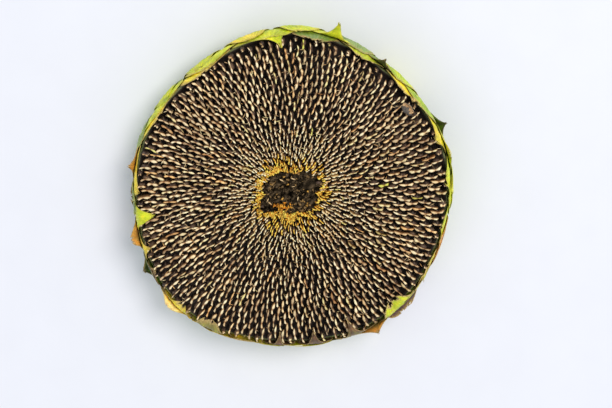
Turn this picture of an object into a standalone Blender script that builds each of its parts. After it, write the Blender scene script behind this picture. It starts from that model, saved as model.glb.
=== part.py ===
"""Sunflower seed head, cut from its stalk and laid on its back with the seeds up.

Metres, +Z up. The axis of the head is vertical while the pieces are made, and the whole head is
then moved so that the middle of its bounding box stands over the origin, with its back on z = 0.
Bearings are in degrees, anticlockwise from +X as seen from above.
"""
import math

import bmesh
import bpy
import numpy as np

MM = 0.001

# The head
HEAD_HEIGHT = 40 * MM        # back to the rim where the bracts leave the wall
RIM_RADIUS = 102 * MM
BACK_FLAT_RADIUS = 60 * MM   # the flat of the back that the head lies on
WALL_REACH = 30 * MM         # how far the wall runs on along the back before it turns up
WALL_BELLY = (109.5 * MM, 14 * MM)
GAP = 0.3 * MM               # between pieces that touch

# The receptacle under the seeds
FLOOR_EDGE_HEIGHT = 28 * MM
FLOOR_CENTRE_HEIGHT = 29.3 * MM
LIP_HEIGHT = 31 * MM
LIP_WIDTH = 3 * MM
TURN_STEPS = 72
WALL_STEPS = 9

# The cut stem in its dimple
STEM_RADIUS = 12.5 * MM
STEM_CUT_HEIGHT = 0.6 * MM
DIMPLE_DEPTH = 6 * MM
DIMPLE_FLOOR_RADIUS = 14 * MM
DIMPLE_MOUTH_RADIUS = 23 * MM

# The bed of seeds and chaff, and the tuft of dried florets in its middle
BED_RADIUS = 99.5 * MM
BED_TOP = 41 * MM
BED_CROWN = 0.8 * MM
TUFT_HALF_SIZE = (20.4 * MM, 16.2 * MM)
# the tuft's lobed outline: count, depth, bearing of a lobe
TUFT_LOBES = ((1, 0.03, 43), (2, 0.08, 21), (4, 0.08, 35), (6, 0.06, -30), (7, 0.05, 11))
TUFT_TOP = 43 * MM
TUFT_FLOOR = 37.5 * MM

# The outline of the head is a little out of round: waves round it, depth, bearing of a crest
OUTLINE_WAVES = ((1, 0.036, -75), (2, 0.013, 69), (3, 0.012, -27), (5, 0.014, 15))

# The bracts: thin blades in three rows, each row outside the last one
BRACT_THICKNESS = 0.7 * MM
BRACT_COLUMNS = 6
BRACT_ROWS = 8
SIDE_GAP = 0.5               # degrees between neighbours in a row
BASE_TAPER = 0.78            # width at the base, of the widest
TIP_WIDTH = 0.03             # width at the tip, of the widest

# Each row: distance out from the wall, height of the base, height where the tips leave the wall,
# and its bracts as (bearing, free length in mm, curl of the tip in degrees, sharpness, lean).
# A tip with a positive curl folds over the seeds, one with a negative curl stands out.
ROWS = {
    "inner": (0.85 * MM, 10 * MM, 39.5 * MM, (
        (5, 4, 30, 0.5, 1), (21, 4, 55, 0.9, -1),
        (43, 3, 20, 0.5, 0), (62, 3, 15, 0.5, 2),
        (81, 4, 25, 0.4, 0), (100, 8, 90, 1.7, -7),
        (124, 4, 25, 0.6, 1), (149, 3, 20, 0.5, 0),
        (176, 4, 60, 1.0, 4), (190, 15, 105, 0.9, -1),
        (202, 7, 80, 1.3, 0), (213, 5, 70, 1.1, -3),
        (226, 6, 75, 0.6, 1), (240, 9, 90, 0.4, -2),
        (255, 3, 20, 0.5, 0), (266, 12, 100, 1.6, 0),
        (278.5, 15, 100, 1.4, 1), (293, 18, 108, 1.8, 1),
        (313, 11, 78, 0.45, 0), (330, 3, 20, 0.5, 1),
        (348, 4, 25, 0.6, -1))),
    "middle": (2.05 * MM, 7 * MM, 37 * MM, (
        (13, 9, -40, 0.7, 0), (35, 3, 5, 0.5, 1),
        (55, 15, -72, 1.4, 0), (74, 24, -95, 1.6, 0),
        (97, 4, 5, 0.35, 0), (120, 5, 5, 0.7, 2),
        (146, 3, 5, 0.5, 0), (171, 11, -65, 1.5, 0),
        (184, 3, 5, 0.7, 1), (197, 13, -65, 0.6, 0),
        (211, 4, 5, 0.9, 0), (224, 10, -50, 0.7, 0),
        (246, 4, 5, 0.5, -1), (270, 3, 5, 0.5, 0),
        (301.5, 13, -45, 1.6, 0), (322, 3, 5, 0.5, 1),
        (342, 4, 5, 0.7, 0), (358, 4, 5, 0.8, 0))),
    "outer": (3.25 * MM, 5.5 * MM, 25 * MM, (
        (0, 12, 14, 0.6, 1), (22.5, 13, -65, 1.6, 0),
        (46, 12, 18, 0.6, 1), (66, 12, 18, 0.5, -1),
        (87, 14, 12, 0.5, 0), (106, 14, 14, 0.5, -3),
        (126, 12, 22, 0.6, 0), (143, 12, 26, 0.6, 0),
        (160, 10, 26, 0.7, 0), (183, 6, -15, 0.8, 1),
        (211, 13, -60, 1.4, 0), (236, 9, 12, 0.9, -2),
        (262, 10, 14, 0.6, 0), (289, 9, 16, 0.8, 0),
        (313, 12, -12, 0.5, -1), (338, 11, 14, 0.7, 0))),
}
STAND_OUT_DROP = 5 * MM      # a tip that stands out leaves the wall this much lower

# A scrap of dried leaf that lies curled on the seeds by the rim
SCRAP_BEARING = 36.5
SCRAP_RADIUS = 96.6 * MM
SCRAP_HALF_LENGTH = 4.4 * MM
SCRAP_ROLL = (2.9 * MM, 1.9 * MM)      # half depth and half height of its curl
SCRAP_EDGES = (95, -200)             # degrees round the curl of its upper and lower edge
SCRAP_TAPER = 0.45
SCRAP_HEIGHT = 44.2 * MM

# colour, roughness of each material
FINISHES = {
    "flesh": ((0.32, 0.38, 0.12), 0.75),
    "bract": ((0.30, 0.42, 0.06), 0.65),
    "stem": ((0.38, 0.42, 0.18), 0.80),
    "seeds": ((0.10, 0.07, 0.05), 0.60),
    "dried_floret": ((0.07, 0.05, 0.03), 0.90),
    "dried_leaf": ((0.25, 0.17, 0.12), 0.80),
}


def clear_scene():
    """Removes every object that the file starts with."""
    for old in list(bpy.data.objects):
        bpy.data.objects.remove(old, do_unlink=True)


def make_materials():
    """One Principled material for each finish."""
    made = {}
    for name, (colour, roughness) in FINISHES.items():
        material = bpy.data.materials.new(name)
        material.use_nodes = True
        shader = material.node_tree.nodes["Principled BSDF"]
        shader.inputs["Base Color"].default_value = (*colour, 1.0)
        shader.inputs["Roughness"].default_value = roughness
        material.diffuse_color = (*colour, 1.0)
        made[name] = material
    return made


def outline(bearing):
    """How far the head is out of round at a bearing in radians: 1 plus a few slow waves."""
    factor = np.ones_like(bearing)
    for count, depth, crest in OUTLINE_WAVES:
        factor = factor + depth * np.cos(count * (bearing - math.radians(crest)))
    return factor


def wall_table(samples=400):
    """The side wall as one cubic Bezier in radius and height, from the flat of the back to the
    rim: distance along it, radius, height and heading."""
    t = np.linspace(0, 1, samples)[:, None]
    ends = np.array([(BACK_FLAT_RADIUS, 0), (BACK_FLAT_RADIUS + WALL_REACH, 0), WALL_BELLY,
                     (RIM_RADIUS, HEAD_HEIGHT)])
    curve = ((1 - t) ** 3 * ends[0] + 3 * (1 - t) ** 2 * t * ends[1]
             + 3 * (1 - t) * t ** 2 * ends[2] + t ** 3 * ends[3])
    step = np.gradient(curve, axis=0)
    along = np.concatenate([[0], np.cumsum(np.hypot(*np.diff(curve, axis=0).T))])
    return along, curve[:, 0], curve[:, 1], np.arctan2(step[:, 1], step[:, 0])


ALONG, WALL_RADIUS, WALL_HEIGHT, WALL_HEADING = wall_table()


def around(radius, bearing, height):
    """Points of the head from radius, bearing and height, with its outline out of round."""
    reach = radius * outline(bearing)
    return np.stack([reach * np.cos(bearing), reach * np.sin(bearing), height], axis=-1)


def add_object(name, mesh, finish, collection):
    """An object for a mesh, in its collection and with its material."""
    mesh.name = name
    made = bpy.data.objects.new(name, mesh)
    made.data.materials.clear()
    made.data.materials.append(materials[finish])
    collection.objects.link(made)
    return made


def move_vertices(mesh, points):
    """Puts a mesh's vertices at the given points."""
    mesh.vertices.foreach_set("co", np.asarray(points, dtype=np.float32).ravel())
    mesh.update()


def vertex_points(mesh):
    """A mesh's vertices as an array of points."""
    points = np.empty(len(mesh.vertices) * 3, dtype=np.float32)
    mesh.vertices.foreach_get("co", points)
    return points.reshape(-1, 3).astype(float)


def turned(name, profile, finish, collection, steps=TURN_STEPS, round_outline=False):
    """A solid turned about the axis from its profile, given from the top centre, down the outer
    side, to the bottom centre. Its rings then follow the head's outline, unless they stay round."""
    chain = bpy.data.meshes.new(name + "_profile")
    chain.from_pydata([(radius, 0, height) for radius, height in profile],
                      [(i, i + 1) for i in range(len(profile) - 1)], [])
    lathe = bpy.data.objects.new(name + "_lathe", chain)
    collection.objects.link(lathe)
    screw = lathe.modifiers.new("turn", "SCREW")
    screw.steps = steps
    screw.render_steps = steps
    screw.use_merge_vertices = True
    screw.merge_threshold = 0.00005
    mesh = bpy.data.meshes.new_from_object(lathe.evaluated_get(bpy.context.evaluated_depsgraph_get()))
    bpy.data.objects.remove(lathe, do_unlink=True)
    if not round_outline:
        points = vertex_points(mesh)
        bearing = np.arctan2(points[:, 1], points[:, 0])
        move_vertices(mesh, around(np.hypot(points[:, 0], points[:, 1]), bearing, points[:, 2]))
    made = add_object(name, mesh, finish, collection)
    mesh.shade_smooth()
    mesh.set_sharp_from_angle(angle=math.radians(40))
    return made


def make_receptacle(collection):
    """The fleshy disc that the seeds stand in: a shallow dish with a belly wall, a flat back and
    a dimple where the stem leaves it."""
    lip_along = np.interp(LIP_HEIGHT, WALL_HEIGHT, ALONG)
    wall = [(float(np.interp(s, ALONG, WALL_RADIUS)), float(np.interp(s, ALONG, WALL_HEIGHT)))
            for s in np.linspace(lip_along, 0, WALL_STEPS)]
    lip_radius = wall[0][0]
    profile = [
        (0, FLOOR_CENTRE_HEIGHT),
        (0.5 * BED_RADIUS, 0.5 * (FLOOR_CENTRE_HEIGHT + FLOOR_EDGE_HEIGHT)),
        (BED_RADIUS, FLOOR_EDGE_HEIGHT),
        (lip_radius - LIP_WIDTH, LIP_HEIGHT - 1 * MM),
        (lip_radius - 0.5 * LIP_WIDTH, LIP_HEIGHT + 0.6 * MM),
        *wall,
        (DIMPLE_MOUTH_RADIUS, 0),
        (DIMPLE_FLOOR_RADIUS, DIMPLE_DEPTH),
        (0, DIMPLE_DEPTH),
    ]
    return turned("receptacle", profile, "flesh", collection)


def make_stem_stub(collection):
    """The stump of the stalk, cut across just short of the back's own level."""
    top = DIMPLE_DEPTH - GAP
    profile = [
        (0, top),
        (STEM_RADIUS, top),
        (STEM_RADIUS * 0.97, 0.5 * top),
        (STEM_RADIUS * 0.98, STEM_CUT_HEIGHT + 0.5 * MM),
        (STEM_RADIUS * 0.94, STEM_CUT_HEIGHT),
        (0, STEM_CUT_HEIGHT),
    ]
    return turned("stem_stub", profile, "stem", collection, steps=32, round_outline=True)


def make_seed_bed(collection):
    """The packed seeds and their chaff as one disc, hollowed in the middle for the tuft."""
    hollow = max(TUFT_HALF_SIZE) * 1.2
    profile = [
        (0, TUFT_FLOOR - GAP),
        (hollow, TUFT_FLOOR - GAP),
        (hollow + 2 * MM, BED_TOP - 1 * MM),
        (hollow + 8 * MM, BED_TOP + 0.5 * BED_CROWN),
        (0.6 * BED_RADIUS, BED_TOP + BED_CROWN),
        (BED_RADIUS - 2 * MM, BED_TOP),
        (BED_RADIUS - 0.5 * MM, BED_TOP - 1.5 * MM),
        (BED_RADIUS - 0.5 * MM, FLOOR_EDGE_HEIGHT + 4 * MM),
        (BED_RADIUS - 2.5 * MM, FLOOR_EDGE_HEIGHT + GAP + 0.1 * MM),
        (0.5 * BED_RADIUS, 0.5 * (FLOOR_CENTRE_HEIGHT + FLOOR_EDGE_HEIGHT) + GAP),
        (0, FLOOR_CENTRE_HEIGHT + GAP),
    ]
    return turned("seed_bed", profile, "seeds", collection)


def make_floret_tuft(collection):
    """The florets that dried in the middle: a low mound with a lobed outline and a flat base."""
    shape = bmesh.new()
    bmesh.ops.create_uvsphere(shape, u_segments=32, v_segments=10, radius=1)
    mesh = bpy.data.meshes.new("floret_tuft")
    shape.to_mesh(mesh)
    shape.free()
    points = vertex_points(mesh)
    bearing = np.arctan2(points[:, 1], points[:, 0])
    lobes = np.ones_like(bearing)
    for count, depth, crest in TUFT_LOBES:
        lobes += depth * np.cos(count * (bearing - math.radians(crest)))
    height = TUFT_FLOOR + np.clip(points[:, 2], 0, 1) * (TUFT_TOP - TUFT_FLOOR)
    move_vertices(mesh, np.stack([points[:, 0] * lobes * TUFT_HALF_SIZE[0],
                                  points[:, 1] * lobes * TUFT_HALF_SIZE[1], height], axis=-1))
    made = add_object("floret_tuft", mesh, "dried_floret", collection)
    mesh.shade_smooth()
    return made


def bract_points(u, v, row, bract, left, right):
    """A bract's middle surface. v runs from its base up the head's wall, and then along an arc
    that leaves the wall at the tip's height and turns by the curl. u runs across it, between the
    bearings left and right, times a width that swells from the base and closes to the tip."""
    out, base_height, leave_height, _ = row
    bearing, free, curl, sharpness, lean = bract
    free = free * MM
    start = np.interp(base_height, WALL_HEIGHT, ALONG)
    leave = np.interp(leave_height - STAND_OUT_DROP * (curl < 0), WALL_HEIGHT, ALONG)
    run = start + v * (leave - start + free)
    on_wall = np.minimum(run, leave)
    beyond = np.clip(run - leave, 0, None)
    turn = math.radians(curl) * beyond / free
    heading = np.interp(on_wall, ALONG, WALL_HEADING)
    chord = beyond * np.sinc(turn / 2 / math.pi)
    radius = np.interp(on_wall, ALONG, WALL_RADIUS) + chord * np.cos(heading + turn / 2)
    height = np.interp(on_wall, ALONG, WALL_HEIGHT) + chord * np.sin(heading + turn / 2)
    radius = radius + out * np.sin(heading + turn)
    height = height - out * np.cos(heading + turn)
    shoulder = max(0.45, (leave - start) / (leave - start + free) - 0.15)
    swell = BASE_TAPER + (1 - BASE_TAPER) * np.sin(0.5 * math.pi * np.minimum(v / 0.4, 1))
    close = (1 - np.clip((v - shoulder) / (1 - shoulder), 0, 1)) ** sharpness
    half = swell * np.maximum(close, TIP_WIDTH)
    side = np.where(u < 0, bearing - right, left - bearing)
    degrees = bearing + u * half * side + lean * (1 - close)
    return around(radius, np.radians(degrees), height)


def make_bract(name, row, bract, left, right, collection):
    """One bract: a grid bent into place and thickened to both sides."""
    shape = bmesh.new()
    bmesh.ops.create_grid(shape, x_segments=BRACT_COLUMNS, y_segments=BRACT_ROWS, size=1)
    mesh = bpy.data.meshes.new(name)
    shape.to_mesh(mesh)
    shape.free()
    flat = vertex_points(mesh)
    move_vertices(mesh, bract_points(flat[:, 0], 0.5 + 0.5 * flat[:, 1], row, bract, left, right))
    made = add_object(name, mesh, "bract", collection)
    blade = made.modifiers.new("thickness", "SOLIDIFY")
    blade.thickness = BRACT_THICKNESS
    blade.offset = 0
    mesh.shade_smooth()
    return made


def make_bract_row(row_name, collection):
    """One row of bracts. Each is as wide as the way to its neighbours allows."""
    row = ROWS[row_name]
    bracts = row[3]
    bearings = [bract[0] for bract in bracts]
    for i, bract in enumerate(bracts):
        following = (bearings[(i + 1) % len(bracts)] - bract[0]) % 360
        before = (bract[0] - bearings[i - 1]) % 360
        left = bract[0] + (following - SIDE_GAP) / 2
        right = bract[0] - (before - SIDE_GAP) / 2
        make_bract(f"{row_name}_bract_{i + 1:02d}", row, bract, left, right, collection)


def make_scrap(collection):
    """A scrap of dried leaf on the seeds: a grid rolled into a C that opens up and towards
    the rim,
    tapered to both ends and thickened."""
    shape = bmesh.new()
    bmesh.ops.create_grid(shape, x_segments=6, y_segments=10, size=1)
    mesh = bpy.data.meshes.new("dried_scrap")
    shape.to_mesh(mesh)
    shape.free()
    flat = vertex_points(mesh)
    roll = np.radians(np.interp(flat[:, 1], (-1, 1), SCRAP_EDGES))
    taper = 1 - SCRAP_TAPER * flat[:, 0] ** 2
    across = flat[:, 0] * SCRAP_HALF_LENGTH
    outwards = SCRAP_RADIUS - SCRAP_ROLL[0] * np.cos(roll) * taper
    height = SCRAP_HEIGHT + SCRAP_ROLL[1] * np.sin(roll) * taper
    bearing = math.radians(SCRAP_BEARING) + np.arctan2(across, outwards)
    move_vertices(mesh, around(np.hypot(outwards, across), bearing, height))
    made = add_object("dried_scrap", mesh, "dried_leaf", collection)
    blade = made.modifiers.new("thickness", "SOLIDIFY")
    blade.thickness = BRACT_THICKNESS
    blade.offset = 0
    mesh.shade_smooth()
    return made


def centre_on_origin(collection):
    """Moves the pieces sideways so that the middle of their bounding box is over the origin."""
    graph = bpy.context.evaluated_depsgraph_get()
    everything = []
    for piece in collection.objects:
        mesh = bpy.data.meshes.new_from_object(piece.evaluated_get(graph))
        everything.append(vertex_points(mesh))
        bpy.data.meshes.remove(mesh)
    points = np.concatenate(everything)
    middle = 0.5 * (points.min(axis=0) + points.max(axis=0))
    for piece in collection.objects:
        piece.location = (-middle[0], -middle[1], 0)


clear_scene()
materials = make_materials()
head = bpy.data.collections.new("sunflower_seed_head")
bpy.context.scene.collection.children.link(head)
make_receptacle(head)
make_stem_stub(head)
make_seed_bed(head)
make_floret_tuft(head)
for name in ROWS:
    make_bract_row(name, head)
make_scrap(head)
bpy.context.view_layer.update()
centre_on_origin(head)
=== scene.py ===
import math

import bpy
import numpy as np
from mathutils import Matrix, Vector


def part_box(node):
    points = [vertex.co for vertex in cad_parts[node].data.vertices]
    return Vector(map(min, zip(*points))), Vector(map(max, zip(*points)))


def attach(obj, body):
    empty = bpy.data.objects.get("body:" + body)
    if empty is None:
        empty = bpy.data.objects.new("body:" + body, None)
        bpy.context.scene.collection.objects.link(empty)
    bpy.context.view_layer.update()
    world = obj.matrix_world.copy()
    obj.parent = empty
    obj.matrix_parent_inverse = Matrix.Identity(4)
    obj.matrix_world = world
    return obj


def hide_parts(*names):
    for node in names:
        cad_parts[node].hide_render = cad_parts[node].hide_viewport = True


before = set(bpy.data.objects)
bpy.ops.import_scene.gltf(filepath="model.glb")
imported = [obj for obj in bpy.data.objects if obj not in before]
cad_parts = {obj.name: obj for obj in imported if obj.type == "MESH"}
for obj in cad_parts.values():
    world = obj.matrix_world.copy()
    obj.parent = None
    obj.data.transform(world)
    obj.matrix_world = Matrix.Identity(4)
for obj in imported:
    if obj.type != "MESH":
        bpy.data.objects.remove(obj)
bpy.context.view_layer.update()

MM = 0.001

# ----------------------------------------------------------
# The table and the light
# The head lies on a plain white table under one big soft lamp at the upper right and a pale
# overcast room. The camera stands a little over a metre above the seeds.
# ----------------------------------------------------------
stub_low, stub_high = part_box("stem_stub")
AXIS = np.array([(stub_low.x + stub_high.x) / 2, (stub_low.y + stub_high.y) / 2])
FACE_HEIGHT = 42 * MM
CAMERA_TILT = math.radians(15)
CAMERA_DISTANCE = 1.2
FIELD_WIDTH = 0.3978             # how wide a strip of the seeds' level the camera takes in
FRAMING_OFFSET = (10.7 * MM, -7.2 * MM)
LAMP_TARGET = (0, 0, 0.02)
SOFT_LAMP = {"place": (1.00, 1.15, 2.65), "size": 1.3, "power": 56, "colour": (1.0, 0.97, 0.935)}
FILL_LAMP = {"place": (-0.9, -1.1, 1.6), "size": 1.2, "power": 5, "colour": (0.93, 0.96, 1.0)}
ROOM_COLOUR, ROOM_STRENGTH = (0.86, 0.92, 1.0, 1), 0.74
TABLE_HALF_SIZE = 3.0
TABLE_HEIGHT = -0.1 * MM

eye = bpy.data.cameras.new("camera")
eye.sensor_width = 36
eye.lens = eye.sensor_width * CAMERA_DISTANCE / FIELD_WIDTH
eye.clip_end = 20
camera = bpy.data.objects.new("camera", eye)
bpy.context.scene.collection.objects.link(camera)
across = Vector((1, 0, 0))
upward = Vector((0, math.cos(CAMERA_TILT), -math.sin(CAMERA_TILT)))
backward = Vector((0, math.sin(CAMERA_TILT), math.cos(CAMERA_TILT)))
stand = (Vector((*AXIS, FACE_HEIGHT)) + backward * CAMERA_DISTANCE
         + across * FRAMING_OFFSET[0] + upward * FRAMING_OFFSET[1])
camera.matrix_world = (Matrix.Translation(stand)
                       @ Matrix((across, upward, backward)).transposed().to_4x4())
bpy.context.scene.camera = camera


def lamp(name, place, size, power, colour):
    """A square area lamp that stands at a place and faces the head."""
    data = bpy.data.lights.new(name, "AREA")
    data.size = size
    data.energy = power
    data.color = colour
    made = bpy.data.objects.new(name, data)
    bpy.context.scene.collection.objects.link(made)
    made.location = place
    made.rotation_euler = (Vector(LAMP_TARGET) - Vector(place)).to_track_quat("-Z", "Y").to_euler()


lamp("soft_lamp", **SOFT_LAMP)
lamp("fill_lamp", **FILL_LAMP)
room = bpy.data.worlds.new("room")
room.use_nodes = True
room.node_tree.nodes["Background"].inputs["Color"].default_value = ROOM_COLOUR
room.node_tree.nodes["Background"].inputs["Strength"].default_value = ROOM_STRENGTH
bpy.context.scene.world = room
bpy.context.scene.view_settings.view_transform = "Standard"


class Look:
    """A tree of shader nodes, with a short call for each kind of node that the materials use.
    An input given a socket is linked to it, and a colour is red, green and blue."""

    def __init__(self, tree):
        self.tree = tree
        self.shader = tree.nodes.get("Principled BSDF")

    def feed(self, socket, value):
        """One input linked to a socket or set to a value."""
        if isinstance(value, bpy.types.NodeSocket):
            self.tree.links.new(value, socket)
        else:
            socket.default_value = (*value, 1) if socket.type == "RGBA" else value

    def node(self, kind, inputs=None, **settings):
        """A node with its settings, and with its inputs by name or number."""
        made = self.tree.nodes.new(kind)
        for name, value in settings.items():
            setattr(made, name, value)
        for name, value in (inputs or {}).items():
            self.feed(made.inputs[name], value)
        return made

    def place(self):
        """The object's own coordinates."""
        return self.node("ShaderNodeTexCoord").outputs["Object"]

    def own(self, name, output="Fac"):
        """A named value that the mesh has at each point."""
        return self.node("ShaderNodeAttribute", attribute_name=name).outputs[output]

    def own_inputs(self, *labels):
        """A shared group's inputs, each fed from the mesh's value of the same name."""
        return {label: self.own(label.lower()) for label in labels}

    def noise(self, scale, detail, roughness=0.5):
        """Cloudy noise from 0 to 1."""
        inputs = {"Vector": self.place(), "Scale": scale, "Detail": detail, "Roughness": roughness}
        return self.node("ShaderNodeTexNoise", inputs).outputs["Fac"]

    def maths(self, operation, first, second=0.0, third=0.0):
        """One sum on up to three numbers."""
        inputs = {0: first, 1: second, 2: third}
        return self.node("ShaderNodeMath", inputs, operation=operation).outputs[0]

    def span(self, value, low, high, top=1.0, how="SMOOTHSTEP"):
        """A value's way from low to high, as 0 to the top."""
        inputs = {"Value": value, "From Min": low, "From Max": high, "To Max": top}
        return self.node("ShaderNodeMapRange", inputs, interpolation_type=how).outputs["Result"]

    def blend(self, factor, first, second, how="MIX"):
        """One colour mixed with another by a factor."""
        inputs = {0: factor, 6: first, 7: second}
        return self.node("ShaderNodeMix", inputs, data_type="RGBA", blend_type=how).outputs[2]

    def ramp(self, factor, *stops):
        """A colour ramp over a factor, from stops of position and colour."""
        made = self.node("ShaderNodeValToRGB", {"Fac": factor})
        elements = made.color_ramp.elements
        for element, (position, colour) in zip(elements, (stops[0], stops[-1])):
            element.position, element.color = position, (*colour, 1)
        for position, colour in stops[1:-1]:
            elements.new(position).color = (*colour, 1)
        return made.outputs["Color"]

    def wear(self, **inputs):
        """The material's shader with some of its inputs fed."""
        for name, value in inputs.items():
            self.feed(self.shader.inputs[name.replace("_", " ")], value)

    def relief(self, height, strength, distance):
        """A fine relief on the material's shader."""
        inputs = {"Height": height, "Strength": strength, "Distance": distance}
        self.wear(Normal=self.node("ShaderNodeBump", inputs).outputs["Normal"])

    def wear_group(self, group, inputs, strength, distance):
        """A shared group, fed, with its colour, roughness and relief on the material's shader."""
        outputs = self.node("ShaderNodeGroup", inputs, node_tree=group.tree).outputs
        self.wear(Base_Color=outputs["Color"], Roughness=outputs["Roughness"])
        self.relief(outputs["Height"], strength, distance)


def new_material(name, **constants):
    """A material and its look, with some of its shader's inputs set."""
    material = bpy.data.materials.new(name)
    material.use_nodes = True
    look = Look(material.node_tree)
    look.wear(**constants)
    return material, look


def new_group(name, *inputs):
    """A node group that gives a colour, a roughness and a height: its look, what it is given
    and what it gives. An input is a number, or a colour where its name ends in Color."""
    tree = bpy.data.node_groups.new(name, "ShaderNodeTree")
    for side, labels in (("INPUT", inputs), ("OUTPUT", ("Color", "Roughness", "Height"))):
        for label in labels:
            kind = "NodeSocketColor" if label.endswith("Color") else "NodeSocketFloat"
            tree.interface.new_socket(label, in_out=side, socket_type=kind)
    return Look(tree), tree.nodes.new("NodeGroupInput").outputs, tree.nodes.new("NodeGroupOutput").inputs


def mesh_object(name, points, faces, material):
    """A mesh object of one material."""
    mesh = bpy.data.meshes.new(name)
    mesh.from_pydata(points, [], faces)
    mesh.materials.append(material)
    made = bpy.data.objects.new(name, mesh)
    bpy.context.scene.collection.objects.link(made)
    return made


table_top, look = new_material("white_table", Roughness=0.55)
look.wear(Base_Color=look.ramp(look.noise(30.0, 3.0), (0.3, (0.745, 0.745, 0.785)),
                               (0.7, (0.76, 0.76, 0.80))))
corners = [(sx * TABLE_HALF_SIZE, sy * TABLE_HALF_SIZE, TABLE_HEIGHT)
           for sx, sy in ((-1, -1), (1, -1), (1, 1), (-1, 1))]
table = mesh_object("table", corners, [(0, 1, 2, 3)], table_top)

# ----------------------------------------------------------
# The seeds
# Ripe seeds with a hard, dark, faintly striped husk. They stand side by side in the disc, point
# down, each one turned by the golden angle from the last, so they form spirals.
# ----------------------------------------------------------
GOLDEN_ANGLE = math.radians(137.508)
SPIRAL_RADIUS = 99.4 * MM
SPIRAL_COUNT = 1250
SPIRAL_POWER = 0.63
RIM_CELL = 31e-6                 # square metres for each seed at the rim
OUTLINE_WAVES = ((1, 0.036, -75), (2, 0.013, 69), (3, 0.012, -27), (5, 0.014, 15))


def circle(sides):
    """The bearings of evenly spaced points round a circle."""
    return np.arange(sides) * 2 * math.pi / sides


def polar(radius, bearing):
    """The two coordinates across the head of a radius and a bearing."""
    return radius * np.cos(bearing), radius * np.sin(bearing)


def waves_round(bearing, waves):
    """1 plus a few waves round a circle, each a count, a depth and a crest's bearing in degrees."""
    factor = np.ones_like(bearing)
    for count, depth, crest in waves:
        factor = factor + depth * np.cos(count * (bearing - math.radians(crest)))
    return factor


def outline(bearing):
    """How far the head is out of round at a bearing."""
    return waves_round(bearing, OUTLINE_WAVES)


def spiral(first, last):
    """The places from the first to the last on the golden-angle spiral: number, radius, bearing
    and the side of the cell each has, as a share of the side of a rim cell. The radius grows as
    the number to a fixed power, so a cell's area is 2 pi power radius squared / number."""
    number = np.arange(first, last + 1)
    radius = SPIRAL_RADIUS * (number / SPIRAL_COUNT) ** SPIRAL_POWER
    cell = 2 * math.pi * SPIRAL_POWER * radius ** 2 / number
    return number, radius, number * GOLDEN_ANGLE, np.sqrt(cell / RIM_CELL)


def head_points(radius, bearing, height):
    """Points of the head from arrays of radius, bearing and height, on its uneven outline."""
    x, y = polar(radius * outline(bearing), bearing)
    return np.stack([AXIS[0] + x, AXIS[1] + y, height + 0 * bearing], axis=-1)


def planted(shape, radius, bearing, turn, lean, size, height):
    """Copies of one small shape, or of one shape each, on the head. A shape's first axis is
    outwards, its second across and its third up. Each copy is sized, leant outwards and across,
    turned about its own upright axis, and set at its radius, bearing and height."""
    local = np.broadcast_to(shape, (len(radius),) + shape.shape[-2:]) * size[:, None]
    out = local[..., 0] + local[..., 2] * np.sin(lean[:, :1])
    side = local[..., 1] + local[..., 2] * np.sin(lean[:, 1:])
    heading = (bearing + turn)[:, None]
    centre = head_points(radius, bearing, height)[:, None]
    return np.stack([centre[..., 0] + out * np.cos(heading) - side * np.sin(heading),
                     centre[..., 1] + out * np.sin(heading) + side * np.cos(heading),
                     centre[..., 2] + local[..., 2]], axis=-1)


def grid_faces(index):
    """The four-sided faces between the neighbours in a grid of point numbers."""
    corners = index[:-1, :-1], index[:-1, 1:], index[1:, 1:], index[1:, :-1]
    return np.stack(corners, axis=-1).reshape(-1, 4)


def ring_faces(rings, sides):
    """The four-sided faces between neighbouring rings of points. The points run ring by ring."""
    index = np.arange(rings * sides).reshape(rings, sides)
    return grid_faces(np.concatenate([index, index[:, :1]], axis=1))


def tube_faces(stations, sides, copies=1):
    """The faces of closed tubes: a ring of points at each station, and a flat cap at each end."""
    offsets = np.arange(copies)[:, None] * stations * sides
    sides_of_all = (ring_faces(stations, sides) + offsets[..., None]).reshape(-1, 4)
    first = np.arange(sides)[::-1] + offsets
    last = np.arange(sides) + (stations - 1) * sides + offsets
    return sides_of_all.tolist() + first.tolist() + last.tolist()


def add_piece(name, points, faces, material, values, replaces=()):
    """One finished piece: a smooth mesh with its named point values, its material, its place on
    the head's body and the CAD nodes that it stands for."""
    made = mesh_object(name, points.reshape(-1, 3), faces, material)
    mesh = made.data
    for label, numbers in values.items():
        numbers = np.asarray(numbers, dtype=np.float32)
        is_vector = numbers.size == 3 * len(mesh.vertices)
        kind, part = ("FLOAT_VECTOR", "vector") if is_vector else ("FLOAT", "value")
        mesh.attributes.new(label, kind, "POINT").data.foreach_set(part, numbers.ravel())
    mesh.shade_smooth()
    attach(made, "root")
    if replaces:
        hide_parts(*replaces)


SEED_FIRST, SEED_LAST = 95, 1290
SEED_REACH = 102.4 * MM          # no seed passes this radius
SEED_SIDES = 8
# rings from the point of a seed to its blunt top: height, half width as a share of the widest
SEED_RINGS = ((30.0 * MM, 0.16), (32.5 * MM, 0.62), (36.0 * MM, 0.98), (38.6 * MM, 0.92),
              (39.9 * MM, 0.60), (40.3 * MM, 0.15))
SEED_HALF_LENGTH = 2.9 * MM      # along a line outwards
SEED_HALF_WIDTH = 1.75 * MM
SEED_TOP = 40.3 * MM
SEED_SIZES = (0.9, 1.06)         # the smallest and the largest, as a share of the usual
SEED_TURN, SEED_LEAN = 0.15, 0.05     # how far seeds are turned and leant, in radians
SEED_HEIGHTS = 0.35 * MM         # how far their tops are uneven

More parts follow.
